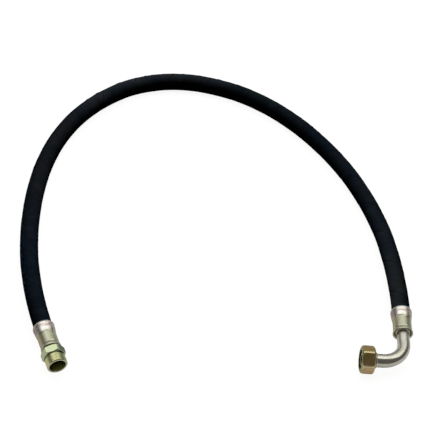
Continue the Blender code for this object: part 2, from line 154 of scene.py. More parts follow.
def ring_mesh(name, points, uv=None):
    """A closed mesh from a (rows, columns, 3) array of points that joins up in both directions."""
    rows, columns = points.shape[:2]
    index = np.arange(rows * columns).reshape(rows, columns)
    below = np.roll(index, -1, axis=0)
    corners = [index, np.roll(index, -1, axis=1), np.roll(below, -1, axis=1), below]
    faces = np.stack(corners, axis=-1).reshape(-1, 4)
    mesh = bpy.data.meshes.new(name)
    mesh.from_pydata(points.reshape(-1, 3).tolist(), [], faces.tolist())
    if uv is not None:
        next_row = np.roll(uv, -1, axis=0)
        spots = np.stack([uv[:, :-1], uv[:, 1:], next_row[:, 1:], next_row[:, :-1]], axis=2)
        layer = mesh.uv_layers.new(name="surface")
        layer.data.foreach_set("uv", spots.reshape(-1).astype(np.float32))
    tidy = bmesh.new()
    tidy.from_mesh(mesh)
    bmesh.ops.remove_doubles(tidy, verts=tidy.verts, dist=MERGE_DISTANCE)
    bmesh.ops.dissolve_degenerate(tidy, edges=tidy.edges, dist=SHORTEST_EDGE)
    bmesh.ops.recalc_face_normals(tidy, faces=tidy.faces)
    tidy.to_mesh(mesh)
    tidy.free()
    return mesh


def rounded(corners, steps=3):
    """A closed outline of (r, z) points from (r, z, rounding) corners."""
    outline = []
    for i, (r, z, rounding) in enumerate(corners):
        if rounding == 0:
            outline.append((r, z))
            continue
        corner = np.array((r, z))
        before = np.array(corners[i - 1][:2]) - corner
        after = np.array(corners[(i + 1) % len(corners)][:2]) - corner
        long_before = max(np.linalg.norm(before), 1e-9)
        long_after = max(np.linalg.norm(after), 1e-9)
        before /= long_before
        after /= long_after
        half = math.acos(float(np.clip(before @ after, -1, 1))) / 2
        wanted = rounding / max(math.tan(half), 0.05)
        cut = min(wanted, LARGEST_CUT * long_before, LARGEST_CUT * long_after)
        for k in range(steps + 1):
            t = k / steps
            bow = (1 - t) ** 2 * (corner + before * cut) + 2 * t * (1 - t) * corner
            outline.append(tuple(bow + t ** 2 * (corner + after * cut)))
    return outline


def turned_mesh(name, outline_at, angles):
    """A closed mesh round local Z.  outline_at(angle) gives the closed (r, z) outline there."""
    outlines = np.array([outline_at(a) for a in angles])
    r, z = outlines[..., 0].T, outlines[..., 1].T
    points = np.stack([r * np.cos(angles), r * np.sin(angles), z], axis=-1)
    return ring_mesh(name, points)


def even_angles(count):
    return np.arange(count) * TAU / count


SOFT_BEND, HARD_BEND = 110.0, 330.0     # curvature, per metre, where edge wear and painted crease shade start and where they are full


def mark_bends(mesh, skip=(0.0, 0.0)):
    """Writes the attribute bend: up to 1 where the surface bends outward sharply, to -1 where inward.
    skip is the range of local Z that is left at 0, such as a thread."""
    points = np.empty(len(mesh.vertices) * 3, np.float32)
    normals = np.empty_like(points)
    ends = np.empty(len(mesh.edges) * 2, np.int32)
    mesh.vertices.foreach_get("co", points)
    mesh.vertices.foreach_get("normal", normals)
    mesh.edges.foreach_get("vertices", ends)
    points, normals = points.reshape(-1, 3), normals.reshape(-1, 3)
    first, second = ends.reshape(-1, 2).T
    along = points[second] - points[first]
    square = np.maximum((along ** 2).sum(axis=1), 1e-12)
    total, count = np.zeros(len(points)), np.zeros(len(points))
    for here, sign in ((first, -2.0), (second, 2.0)):
        np.add.at(total, here, sign * (normals[here] * along).sum(axis=1) / square)
        np.add.at(count, here, 1)
    curve = total / np.maximum(count, 1)
    share = np.clip((np.abs(curve) - SOFT_BEND) / (HARD_BEND - SOFT_BEND), 0, 1)
    share[(points[:, 2] > skip[0]) & (points[:, 2] < skip[1])] = 0
    bend = mesh.attributes.new("bend", "FLOAT", "POINT")
    bend.data.foreach_set("value", (np.sign(curve) * share).astype(np.float32))


def piece(mesh, matrix, material, body, nodes, sharp=40, unworn=(0.0, 0.0)):
    """Puts a mesh in the scene as the piece that stands for some CAD nodes.  Edges of more than sharp
    degrees stay hard, and unworn is a range of local Z without wear or painted crease shade."""
    mark_bends(mesh, unworn)
    mesh.materials.append(material)
    mesh.shade_smooth()
    mesh.set_sharp_from_angle(angle=math.radians(sharp))
    obj = bpy.data.objects.new(mesh.name, mesh)
    bpy.context.scene.collection.objects.link(obj)
    obj.matrix_world = matrix
    weighted = obj.modifiers.new("normals", "WEIGHTED_NORMAL")
    weighted.keep_sharp = True
    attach(obj, body)
    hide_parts(*nodes)
    return obj


def smoothstep(low, high, value):
    t = min(max((value - low) / (high - low), 0.0), 1.0)
    return t * t * (3 - 2 * t)


# ---------------------------------------------------------------- hexagons and threads
HALF_SIDE = math.radians(30)            # from the middle of a hexagon's flat to its corner
WHOLE_SIDE = math.radians(60)


class Hexagon:
    """Outline of a hexagon with rounded upright edges; radius_at gives it by angle."""

    def __init__(self, across_flats, roll, corner_limit, rounding=0.5 * MM):
        self.flat = across_flats / 2
        self.roll = roll
        self.limit = corner_limit
        self.rounding = rounding
        self.centre = (self.flat - rounding) / math.cos(HALF_SIDE)
        self.tangent = math.atan(self.centre * math.sin(HALF_SIDE) / self.flat)

    def radius_at(self, angle):
        off = (angle - self.roll + HALF_SIDE) % WHOLE_SIDE - HALF_SIDE
        if abs(off) <= self.tangent:
            radius = self.flat / math.cos(off)
        else:
            delta = HALF_SIDE - abs(off)
            across = self.centre * math.sin(delta)
            radius = self.centre * math.cos(delta) + math.sqrt(self.rounding ** 2 - across ** 2)
        return min(radius, self.limit)

    def angles(self, on_flat=16, on_corner=6):
        """Angles all the way round, closer together at the corners."""
        half = list(np.linspace(0, self.tangent, on_flat // 2 + 1))
        half += list(np.linspace(self.tangent, HALF_SIDE, on_corner // 2 + 1))[1:]
        side = [-a for a in half[:0:-1]] + half[:-1]
        turns = [self.roll + k * WHOLE_SIDE + a for k in range(6) for a in side]
        return np.array(sorted(t % TAU for t in turns))


CHAMFER_SLOPE = math.tan(math.radians(30))
WEAR_WIDTH = 0.6 * MM                   # of the worn strip beside a hexagon's edges
LEAST_CHAMFER = 0.02 * MM


def hexagon_corners(radius, low, high, face, edge=0.25 * MM):
    """Outline corners of a chamfered hexagon's side where its flats stand at radius, from high to low."""
    drop = max(radius - face, LEAST_CHAMFER) * CHAMFER_SLOPE
    return [
        (face, high, edge), (radius, high - drop, edge), (radius, high - drop - WEAR_WIDTH, 0),
        (radius, low + drop + WEAR_WIDTH, 0), (radius, low + drop, edge), (face, low, edge),
    ]


def domed_corners(radius, low, high, face, steepness=1.2, steps=7):
    """Outline of a hexagon's side whose chamfers bulge, from high to low."""
    drop = max(radius - face, LEAST_CHAMFER) * steepness
    turns = [math.pi / 2 * k / steps for k in range(steps + 1)]
    upper = [
        (face + (radius - face) * math.sin(t), high - drop * (1 - math.cos(t)), 0) for t in turns
    ]
    upper.append((radius, high - drop - WEAR_WIDTH, 0))
    return upper + [(r, low + high - z, 0) for r, z, _ in upper[::-1]]


def thread_rows(angle, low, high, radius, depth, pitch, outward=True, per_turn=10):
    """Outline points of a screw thread from high to low at this angle; it fades out at both ends.
    The crest takes two thirds of the pitch, and each flank a sixth."""
    count = int((high - low) / pitch * per_turn)
    rows = []
    for i in range(count + 1):
        z = high - (high - low) * i / count
        turn = (z / pitch - angle / TAU) % 1.0
        cut = min(max(abs(turn - 0.5) * 6.0 - 2.0, 0.0), 1.0)
        fade = smoothstep(0, pitch, z - low) * smoothstep(0, 0.6 * pitch, high - z)
        deep = depth * cut * fade
        rows.append((radius - deep if outward else radius + deep, z, 0))
    return rows


# ---------------------------------------------------------------- tubes
def tube_mesh(name, path, outer, inner, segments=64, inner_step=1):
    """A hollow tube along an array of path points.
    outer and inner give the radius at (distance, angle)."""
    tangents = np.gradient(path, axis=0)
    tangents /= np.linalg.norm(tangents, axis=1)[:, None]
    side = np.cross(tangents, (0.0, 0.0, 1.0))
    side /= np.linalg.norm(side, axis=1)[:, None]
    lift = np.cross(side, tangents)
    steps = np.linalg.norm(np.diff(path, axis=0), axis=1)
    distance = np.concatenate([[0], np.cumsum(steps)])
    angles = even_angles(segments)
    inward = list(range(len(path) - 1, 0, -inner_step)) + [0]
    rows = [(i, outer) for i in range(len(path))] + [(i, inner) for i in inward]
    points = np.empty((len(rows), segments, 3))
    uv = np.empty((len(rows), segments + 1, 2))
    for row, (i, radius) in enumerate(rows):
        r = np.array([radius(distance[i], a) for a in angles])
        out = np.outer(np.cos(angles), side[i]) + np.outer(np.sin(angles), lift[i])
        points[row] = path[i] + r[:, None] * out
        uv[row, :, 0] = distance[i]
        uv[row, :, 1] = np.append(angles, TAU) * r.mean()
    return ring_mesh(name, points, uv)


WRAP_PITCH = 55 * MM                    # of the seam that the cloth wrapping leaves on the cover
WRAP_STEP = 0.18 * MM
WRAP_LAP = 0.03                         # share of the pitch over which the step falls back
COVER_GAP = 0.14 * MM                   # left below the CAD's radius for the unevenness
MEAN_COVER_RADIUS = HOSE_RADIUS - 0.12 * MM
UNEVENNESS = ((0.05 * MM, 75), (0.04 * MM, 240))    # height, noise scale
LUMP_HEIGHT = 1.3 * MM
LUMP_SCALE = 190
LUMP_THRESHOLD = 0.16
LUMP_SHIFT = Vector((7, 0, 0))
COVER_BORE = 10.6 * MM
BRAID_RADII = (10.3 * MM, 9.6 * MM)
LINER_RADII = (9.3 * MM, 7.95 * MM)


def cover_radius(distance, angle):
    turn = (distance / WRAP_PITCH - angle / TAU) % 1.0
    rise = turn if turn < 1 - WRAP_LAP else (1 - turn) / WRAP_LAP * (1 - WRAP_LAP)
    spot = Vector((distance, math.cos(angle) * HOSE_RADIUS, math.sin(angle) * HOSE_RADIUS))
    uneven = sum(height * noise.noise(spot * scale) for height, scale in UNEVENNESS)
    outer_side = max(-math.cos(angle), 0) * max(math.sin(angle) + 0.25, 0)
    raised = max(noise.noise(spot * LUMP_SCALE + LUMP_SHIFT) - LUMP_THRESHOLD, 0)
    lumps = LUMP_HEIGHT * outer_side * raised
    return HOSE_RADIUS - COVER_GAP + WRAP_STEP * (rise - 0.5) + uneven + lumps


def steady(radius):
    return lambda distance, angle: radius


def make_hose(rubber, wire, lining):
    """The cover, the list of the layers inside it, and the cover's centreline."""
    here = Matrix.Identity(4)
    body = "hose_assembly"
    path = hose_path(COVER_DEPTH, 2 * MM)
    cover = tube_mesh("hose_outer_cover", path, cover_radius, steady(COVER_BORE), 72, 6)
    cover = piece(cover, here, rubber, body, ["hose_cover"], 60)
    inside = hose_path(BRAID_DEPTH, 6 * MM)
    layers = []
    for name, (outer, inner), material, slot, node in (
        ("hose_wire_braid", BRAID_RADII, wire, "braid_wire", "wire_braid"),
        ("hose_inner_liner", LINER_RADII, lining, "liner_rubber", "hose_liner"),
    ):
        layer = tube_mesh(name, inside, steady(outer), steady(inner), 48)
        layers.append(piece(layer, here, material, body, [node]))
    return cover, layers, path


# ---------------------------------------------------------------- crimped ferrules
FERRULE_PROFILE = (                     # distance from the mouth and radius before crimping
    (0.0, 12.6), (0.3, 12.95), (0.8, 13.3), (1.6, 13.68), (2.6, 13.88), (3.8, 13.86), (4.7, 13.72),
    (5.3, 13.5), (5.9, 13.32), (6.8, 13.26), (7.7, 13.32), (8.4, 13.42), (9.2, 13.36), (11.0, 13.1),
    (13.5, 12.78), (15.5, 12.55), (18.0, 12.42), (29.5, 12.4), (31.0, 12.2), (31.8, 11.95),
    (32.4, 11.72), (33.0, 11.95), (33.6, 12.35), (34.5, 12.75), (35.5, 13.0), (37.1, 13.1),
    (37.5, 13.0), (37.8, 12.7),
)
WAIST_RADIUS = 12.1 * MM
DIES = 8
DIE_MARK_AT = 15.0 * MM
CRIMP_RAMP = (0.9 * MM, 0.5 * MM)       # before and after the mark
CRIMP_END = (29.3 * MM, 31.2 * MM)
DIE_FLATNESS = 0.1
RIDGE_HEIGHT = 0.09 * MM                # of the line between two dies
RIDGE_WIDTH = math.radians(2.6)
LIP_HEIGHT = 0.05 * MM
LIP_WIDTH = 0.5 * MM
FERRULE_UNEVENNESS = 0.012 * MM


def ferrule_rows():
    """Distances from the mouth at which the outside has points, closer together where it curves."""
    fine = [0, 0.15, 0.3, 0.55, 0.8, 1.2, 1.6, 2.1, 2.6, 3.2, 3.8, 4.3, 4.7, 5.0, 5.3, 5.6, 5.9]
    fine += [6.35, 6.8, 7.25, 7.7, 8.05, 8.4, 8.8, 9.2, 10.0, 11.0, 12.0, 13.0, 13.8]
    fine += [14.3 + 0.25 * i for i in range(17)] + [19.0 + 1.0 * i for i in range(11)]
    fine += [29.5, 30.0, 30.5, 31.0, 31.4, 31.8, 32.1, 32.4, 32.7, 33.0, 33.3, 33.6, 34.0, 34.5]
    return [s * MM for s in fine + [35.0, 35.5, 36.3, 37.1, 37.3, 37.5, 37.68, 37.8]]


def make_ferrule(name, node, matrix, zinc, inner, seed, dents=()):
    """A crimped ferrule.  inner is the outline of its inside, from its end back to its mouth, and each
    dent is (distance from the mouth, angle, size, depth)."""
    draw = random.Random(seed)
    starts = [DIE_MARK_AT + draw.uniform(0.0, 1.7) * MM for _ in range(DIES)]
    presses = [draw.uniform(-0.06, 0.05) * MM for _ in range(DIES)]
    at, radius = np.array(FERRULE_PROFILE).T * MM
    rows = ferrule_rows()
    plain = np.interp(rows, at, radius)
    width = TAU / DIES
    turned_by = draw.uniform(0, width)
    inside = rounded([(r * MM, z * MM, c * MM) for r, z, c in inner])

    def outline(angle):
        die, part = divmod((angle + turned_by) % TAU, width)
        off = abs(part - width / 2)
        flatness = DIE_FLATNESS * (1 / math.cos(off) - 1)
        ridge = RIDGE_HEIGHT * math.exp(-((width / 2 - off) / RIDGE_WIDTH) ** 2)
        pressed = WAIST_RADIUS * (1 + flatness) + presses[int(die) % DIES] + ridge
        start = starts[int(die) % DIES] + 1.0 * MM * (off / width) ** 2
        points = []
        for s, base in zip(rows, plain):
            depth = smoothstep(start - CRIMP_RAMP[0], start + CRIMP_RAMP[1], s)
            depth *= 1 - smoothstep(*CRIMP_END, s)
            lip = LIP_HEIGHT * math.exp(-((s - start + LIP_WIDTH) / LIP_WIDTH) ** 2)
            r = base + (min(pressed, base) - base) * depth + lip
            for dent_s, dent_angle, dent_size, dent_depth in dents:
                across = ((angle - dent_angle + math.pi) % TAU - math.pi) * base
                far = math.hypot(s - dent_s, across) / dent_size
                r -= dent_depth * math.exp(-far * far)
            spot = Vector((math.cos(angle) * r, math.sin(angle) * r, s))
            rough = FERRULE_UNEVENNESS * noise.noise(spot * 260 + Vector((seed, 0, 0)))
            points.append((r + rough, s))
        return points + inside

    mesh = turned_mesh(name, outline, even_angles(160))
    piece(mesh, matrix, zinc, "hose_assembly", [node], 42)


# ---------------------------------------------------------------- male end
THREAD_PITCH = 1.5 * MM
THREAD_DEPTH = 0.4 * MM
MALE_TIP = 64.2 * MM
STUD_UNWORN = (0.0522, 0.0634)


def scaled(corners):
    return [(r * MM, z * MM, rounding * MM) for r, z, rounding in corners]


def barb_corners(top):
    """The tail's four barbs below top, and its end, as (r, z, rounding) in millimetres."""
    corners = [(7.3, top, 0)]
    for i in range(4):
        ring = top - 4.5 * (i + 1)
        corners += [(7.3, ring, 0.15), (6.7, ring - 0.4, 0.1), (7.3, ring - 3.9, 0)]
    return corners + [(6.7, 4.0, 0.2), (5.9, 4.0, 0.2)]


def make_male_end(matrix, zinc):
    hexagon = Hexagon(27 * MM, math.radians(103.5), 15.4 * MM)

    def outline(angle):
        corners = scaled([(10.4, 64.2, 0.25), (12.1, 64.2, 0.15)])
        corners += thread_rows(
            angle, 53.2 * MM, MALE_TIP - 0.9 * MM, 13.0 * MM, THREAD_DEPTH, THREAD_PITCH
        )
        corners += scaled([(11.8, 52.2, 0.2), (11.8, 50.0, 0.2)])
        corners += hexagon_corners(hexagon.radius_at(angle), 40.2 * MM, 50.0 * MM, 13.4 * MM)
        corners += scaled([(8.4, 40.2, 0.3), (8.4, 35.1, 0.2), (10.2, 35.1, 0.2), (10.2, 33.9, 0.2)])
        corners += scaled(barb_corners(33.9))
        return rounded(corners + scaled([(5.9, 51.2, 0.1), (8.38, 51.7, 0.1), (8.38, 54.7, 0.2)]))

    mesh = turned_mesh("male_threaded_end", outline, hexagon.angles(18, 8))
    piece(mesh, matrix, zinc, "hose_assembly", ["male_nipple"], 38, STUD_UNWORN)


# ---------------------------------------------------------------- elbow end
CORNER_FROM_MOUTH = 83.7 * MM
TUBE_START = 33.4 * MM
BEND_RADIUS = 29.5 * MM
NUT_LEG = 42.0 * MM
TUBE_WALL = 2.0 * MM
NUT_THREAD_DEPTH = 0.75 * MM
NUT_UNWORN = (0.0562, 0.0580)


def elbow_path():
    """Centreline of the bent tube from its tail end to its nut end, and the distances of its bend."""
    corner = ELBOW_MOUTH + direction(ELBOW_HEADING) * CORNER_FROM_MOUTH
    straight = CORNER_FROM_MOUTH - TUBE_START - BEND_RADIUS
    points = [corner + Vector((0, BEND_RADIUS + straight * (1 - i / 12), 0)) for i in range(12)]
    for i in range(37):
        turn = math.pi / 2 * i / 36
        offset = Vector((math.cos(turn) - 1, 1 - math.sin(turn), 0))
        points.append(corner + BEND_RADIUS * offset)
    leg = NUT_LEG - BEND_RADIUS
    points += [corner - Vector((BEND_RADIUS + leg * i / 8, 0, 0)) for i in range(1, 9)]
    return np.array(points), straight, straight + BEND_RADIUS * math.pi / 2


def make_elbow_tube(zinc):
    path, bend_start, bend_end = elbow_path()

    def outer(distance, angle):
        spread = min(max((distance - bend_start) / (bend_end - bend_start), 0), 1)
        spot = Vector((distance, math.cos(angle) * 0.008, math.sin(angle) * 0.008))
        return (8.1 + 0.55 * spread) * MM + 0.008 * MM * noise.noise(spot * 150)

    def inner(distance, angle):
        return outer(distance, angle) - TUBE_WALL

    mesh = tube_mesh("elbow_bent_tube", path, outer, inner, 72)
    piece(mesh, Matrix.Identity(4), zinc, "hose_assembly", ["elbow_tube"])


def make_tail(matrix, zinc):
    corners = [(9.4, 33.1, 0.2), (9.4, 31.1, 0.2), (8.4, 31.1, 0.15), (8.4, 28.1, 0.15)]
    corners += [(10.2, 28.1, 0.2), (10.2, 26.9, 0.2)] + barb_corners(26.9) + [(5.9, 33.1, 0.2)]
    outline = rounded(scaled(corners))
    mesh = turned_mesh("elbow_barbed_tail", lambda angle: outline, even_angles(72))
    piece(mesh, matrix, zinc, "hose_assembly", ["elbow_tail"], 38)


def make_cone_head(matrix, zinc):
    slope = math.tan(math.radians(12))

    def cone(z):
        return 9.9 - (z - 47.0) * slope

    corners = [
        (cone(56.0), 56.0, 0.4), (cone(52.35), 52.35, 0.1), (7.1, 52.35, 0.15), (7.1, 49.65, 0.15),
        (cone(49.65), 49.65, 0.1), (9.9, 47.0, 0.2), (11.7, 47.0, 0.3), (11.7, 45.2, 0.2),
        (10.0, 43.5, 0.2), (10.0, 38.0, 0.35), (8.95, 38.0, 0.2), (8.95, 42.3, 0.2),
        (6.1, 42.3, 0.2), (6.1, 56.0, 0.3),
    ]
    outline = rounded(scaled(corners))
    mesh = turned_mesh("cone_sealing_head", lambda angle: outline, even_angles(84))
    piece(mesh, matrix, zinc, "hose_assembly", ["cone_head"], 38)


def make_o_ring(matrix, rubber):
    outline = [((8.4 + math.cos(a)) * MM, (51.0 - math.sin(a)) * MM) for a in even_angles(20)]
    mesh = turned_mesh("cone_seal_ring", lambda angle: outline, even_angles(84))
    piece(mesh, matrix, rubber, "hose_assembly", ["cone_o_ring"])


def make_braze(name, node, matrix, filler, foot, way, inner, outer, height):
    """A rounded bead of brazing metal round a tube, in millimetres.  It stands on the face at foot and
    thins out along way, which is 1 or -1."""
    def outline(angle):
        ripple = noise.noise(Vector((math.cos(angle) * 4, math.sin(angle) * 4, foot)))
        tall = height * (1.0 + 0.1 * ripple)
        wide = outer - 0.05 - 0.05 * ripple
        bead = []
        for k in range(9):
            turn = math.pi / 2 * k / 8
            r = inner + 0.1 + (wide - inner - 0.1) * math.cos(turn)
            bead.append((r, foot + way * tall * math.sin(turn)))
        return [(r * MM, z * MM) for r, z in bead + [(inner, bead[-1][1]), (inner, foot)]]

    mesh = turned_mesh(name, outline, even_angles(84))
    piece(mesh, matrix, filler, "hose_assembly", [node], 60)


def make_nut(matrix, zinc):
    hexagon = Hexagon(32 * MM, math.radians(54), 17.95 * MM, 2.2 * MM)

    def outline(angle):
        corners = scaled([(12.9, 57.3, 0.2), (13.3, 57.3, 0), (14.3, 57.3, 0)])
        corners += domed_corners(hexagon.radius_at(angle), 39.7 * MM, 57.3 * MM, 14.7 * MM)
        corners += scaled([(14.3, 39.7, 0), (11.0, 39.7, 0)])
        corners += scaled([(10.3, 39.7, 0.3), (10.3, 43.4, 0.2), (12.25, 45.35, 0.1)])
        bore = thread_rows(
            angle, 45.6 * MM, 56.65 * MM, 12.25 * MM, NUT_THREAD_DEPTH, THREAD_PITCH, outward=False
        )
        return rounded(corners + bore[::-1])

    mesh = turned_mesh("swivel_hex_nut", outline, hexagon.angles(18, 8))
    piece(mesh, matrix, zinc, "nut", ["swivel_nut"], 38, NUT_UNWORN)


# ---------------------------------------------------------------- materials
MIX_COLOR_INPUTS = (0, 6, 7)            # factor, A and B of a Mix node set to colour
MIX_COLOR_OUTPUT = 2


class Shader:
    """A material with one Principled shader, and short ways to add the nodes that feed it."""

    def __init__(self, name, **sockets):
        self.material = bpy.data.materials.new(name)
        self.material.use_nodes = True
        self.tree = self.material.node_tree
        self.principled = self.tree.nodes["Principled BSDF"]
        self.coordinates = self.tree.nodes.new("ShaderNodeTexCoord")
        for socket, value in sockets.items():
            self.principled.inputs[socket.replace("_", " ")].default_value = value

    def node(self, kind, **settings):
        made = self.tree.nodes.new(kind)
        for key, value in settings.items():
            setattr(made, key, value)
        return made

    def link(self, source, target):
        self.tree.links.new(source, target)

    def feed(self, source, socket):
        """Links a node's output to a socket, or sets the socket to a number."""
        if isinstance(source, bpy.types.NodeSocket):
            self.link(source, socket)
        else:
            socket.default_value = source

    def split(self, vector):
        """The X, Y and Z outputs of a vector."""
        made = self.node("ShaderNodeSeparateXYZ")
        self.link(vector, made.inputs[0])
        return made.outputs

    def vector_math(self, operation, source):
        made = self.node("ShaderNodeVectorMath", operation=operation)
        self.link(source, made.inputs[0])
        return made

    def scaled(self, factors, output="Object"):
        mapping = self.node("ShaderNodeMapping")
        mapping.inputs["Scale"].default_value = factors
        self.link(self.coordinates.outputs[output], mapping.inputs["Vector"])
        return mapping.outputs["Vector"]

    def noise(self, vector, scale, detail=3.0, roughness=0.5, distortion=0.0):
        made = self.node("ShaderNodeTexNoise")
        self.link(vector, made.inputs["Vector"])
        made.inputs["Scale"].default_value = scale
        made.inputs["Detail"].default_value = detail
        made.inputs["Roughness"].default_value = roughness
        made.inputs["Distortion"].default_value = distortion
        return made.outputs["Fac"]

    def ramp(self, value, stops):
        made = self.node("ShaderNodeValToRGB")
        self.link(value, made.inputs["Fac"])
        elements = made.color_ramp.elements
        while len(elements) < len(stops):
            elements.new(0.5)
        for element, (position, color) in zip(elements, stops):
            element.position = position
            element.color = (*color, 1)
        return made.outputs["Color"]

    def greys(self, value, stops):
        return self.ramp(value, [(position, (grey, grey, grey)) for position, grey in stops])

    def remap(self, value, low, high, to_low, to_high):
        made = self.node("ShaderNodeMapRange")
        self.link(value, made.inputs["Value"])
        numbers = {"From Min": low, "From Max": high, "To Min": to_low, "To Max": to_high}
        for socket, number in numbers.items():
            made.inputs[socket].default_value = number
        return made.outputs["Result"]

    def mix(self, factor, first, second, blend="MIX"):
        made = self.node("ShaderNodeMix", data_type="RGBA", blend_type=blend)
        for source, socket in zip((factor, first, second), MIX_COLOR_INPUTS):
            self.feed((*source, 1) if isinstance(source, tuple) else source, made.inputs[socket])
        return made.outputs[MIX_COLOR_OUTPUT]

    def math(self, operation, first, second):
        made = self.node("ShaderNodeMath", operation=operation)
        for source, socket in zip((first, second), made.inputs):
            self.feed(source, socket)
        return made.outputs[0]

    def bump(self, height, strength, distance, under=None):
        made = self.node("ShaderNodeBump")
        made.inputs["Strength"].default_value = strength
        made.inputs["Distance"].default_value = distance
        self.link(height, made.inputs["Height"])
        if under is not None:
            self.link(under, made.inputs["Normal"])
        return made.outputs["Normal"]

    def finish(self, color, roughness, normal):
        self.link(color, self.principled.inputs["Base Color"])
        self.link(roughness, self.principled.inputs["Roughness"])
        self.link(normal, self.principled.inputs["Normal"])
        return self.material


def hose_rubber_look():
    """Black rubber cured in a cloth wrapping: its seam, fine ribs and threads stay printed in it.  A
    grey-blue painted sheen stands in for the light on its upper side, and the underside is painted near
    black as shade;
    how strong the sheen is, and how far round it leans, change along the hose."""
    look = Shader("hose_rubber_look", Specular_IOR_Level=0.0)
    spots = look.scaled((1, 1, 1))
    surface = look.scaled((1, 1, 1), "UV")
    axes = look.split(surface)
    along, around = axes["X"], axes["Y"]
    mottling = look.noise(spots, 34, 4, 0.62, 0.5)
    # painted sheen: the grey-blue colour of the lit upper side, its tone drifting at random
    painted_sheen = look.ramp(mottling, [
        (0.32, (0.024, 0.0375, 0.056)), (0.46, (0.034, 0.046, 0.064)),
        (0.56, (0.041, 0.045, 0.054)), (0.70, (0.0475, 0.064, 0.0875)),
    ])
    # painted light: how strong the sheen is at each stretch of the hose, and how far round its lit side
    # leans there
    place = look.math("MULTIPLY", along, 1 / HOSE_LENGTH)
    sheen_by_stretch = look.ramp(place, [
        (0.0, (0.30, 0.37, 0.42)), (0.10, (0.26, 0.36, 0.46)), (0.25, (0.44, 0.41, 0.38)),
        (0.34, (0.50, 0.46, 0.42)), (0.43, (0.80, 0.80, 0.80)), (0.50, (0.95, 0.88, 0.80)),
        (0.60, (0.42, 0.52, 0.50)), (0.70, (0.28, 0.33, 0.38)), (0.86, (0.38, 0.45, 0.48)),
        (0.96, (0.68, 0.66, 0.58)),
    ])
    sheen_lean = look.greys(place, [
        (0.0, 0.72), (0.20, 0.72), (0.38, 0.30), (0.50, 0.0), (0.66, 0.20), (0.84, 0.60), (1.0, 1.0),
    ])
    painted_sheen = look.mix(1.0, painted_sheen, sheen_by_stretch, "MULTIPLY")
    # mask of the painted sheen: lighter towards the lit upper side, fading into near-black painted shade
    # underneath
    angle = look.math("MULTIPLY", around, 1 / MEAN_COVER_RADIUS)
    height = look.math("SINE", look.math("ADD", angle, look.remap(sheen_lean, 0.0, 1.0, -0.6, 0.5)), 0.0)
    ragged = look.remap(look.noise(spots, 60, 4, 0.6), 0.2, 0.8, -0.16, 0.16)
    uneven = look.math("ADD", height, ragged)
    share = look.math("POWER", look.remap(uneven, 0.05, 1.0, 0.0, 1.0), 1.4)
    color = look.mix(share, (0.0005, 0.0007, 0.0010), painted_sheen)
    ribs = look.noise(look.scaled((420, 36, 1), "UV"), 1.0, 3, 0.65)
    color = look.mix(look.remap(ribs, 0.3, 0.7, 0.0, 0.5), color, (0.35, 0.36, 0.4), "MULTIPLY")
    round_share = look.math("MULTIPLY", around, -1 / (TAU * MEAN_COVER_RADIUS))
    along_share = look.math("MULTIPLY", along, 1 / WRAP_PITCH)
    turn = look.math("FRACT", look.math("ADD", along_share, round_share), 0.0)
    seam = look.greys(turn, [(0.0, 1), (0.012, 0), (0.978, 0), (0.994, 1)])
    color = look.mix(look.math("MULTIPLY", seam, 0.6), color, (0.0006, 0.0008, 0.001))
    dust = look.greys(look.noise(spots, 700, 2, 0.5), [(0.69, 0), (0.76, 1)])
    color = look.mix(look.math("MULTIPLY", dust, 0.4), color, (0.03, 0.04, 0.052))
    outer = look.remap(look.math("COSINE", angle, 0.0), -0.85, -0.45, 1.0, 0.0)
    begun = look.remap(along, 0.03, 0.08, 0.0, 1.0)
    stretch = look.math("MULTIPLY", begun, look.remap(along, 0.24, 0.32, 1.0, 0.0))
    scratches = look.noise(look.scaled((190, 420, 1), "UV"), 1.0, 3, 0.7)
    scuffs = look.greys(scratches, [(0.52, 0), (0.60, 1)])
    scuffed = look.math("MULTIPLY", look.math("MULTIPLY", outer, stretch), scuffs)
    color = look.mix(look.math("MULTIPLY", scuffed, 0.8), color, (0.012, 0.042, 0.066))
    roughness = look.remap(look.noise(spots, 120, 3), 0.3, 0.7, 0.50, 0.66)
    weave = look.node("ShaderNodeTexWave", bands_direction="X")
    cross = look.node("ShaderNodeTexWave", bands_direction="Y")
    for threads in (weave, cross):
        look.link(surface, threads.inputs["Vector"])
        threads.inputs["Scale"].default_value = 390
        threads.inputs["Distortion"].default_value = 0.6
    cloth = look.math("MULTIPLY", weave.outputs["Fac"], cross.outputs["Fac"])
    normal = look.bump(cloth, 0.25, 0.00006)
    normal = look.bump(ribs, 0.35, 0.00015, normal)
    normal = look.bump(look.noise(spots, 330, 3), 0.3, 0.00012, normal)
    return look.finish(color, roughness, normal)


def plain_rubber_look(name, dark, light):
    look = Shader(name, Specular_IOR_Level=0.35)
    spots = look.scaled((1, 1, 1))
    color = look.ramp(look.noise(spots, 160, 4), [(0.3, dark), (0.7, light)])
    roughness = look.remap(look.noise(spots, 300, 3), 0.3, 0.7, 0.4, 0.6)
    return look.finish(color, roughness, look.bump(look.noise(spots, 900, 3), 0.3, 0.00004))


def braid_look():
    """Bright wire in two crossing layers of strands, laid out on the tube's own surface map."""
    look = Shader("braid_wire_look", Metallic=1.0)
    strands = []
    for turn in (0.9, -0.9):
        mapping = look.node("ShaderNodeMapping")
        mapping.inputs["Rotation"].default_value = (0, 0, turn)
        look.link(look.coordinates.outputs["UV"], mapping.inputs["Vector"])
        wave = look.node("ShaderNodeTexWave", bands_direction="X")
        wave.inputs["Scale"].default_value = 780
        look.link(mapping.outputs["Vector"], wave.inputs["Vector"])
        strands.append(wave.outputs["Fac"])
    height = look.math("MAXIMUM", strands[0], strands[1])
    color = look.ramp(height, [(0.2, (0.12, 0.11, 0.09)), (0.8, (0.62, 0.58, 0.48))])
    roughness = look.remap(look.noise(look.scaled((1, 1, 1)), 200, 3), 0.3, 0.7, 0.28, 0.45)
    return look.finish(color, roughness, look.bump(height, 0.6, 0.0003))


RAGGED_EDGE = 0.003                     # half the unevenness, in metres, where one tint meets another


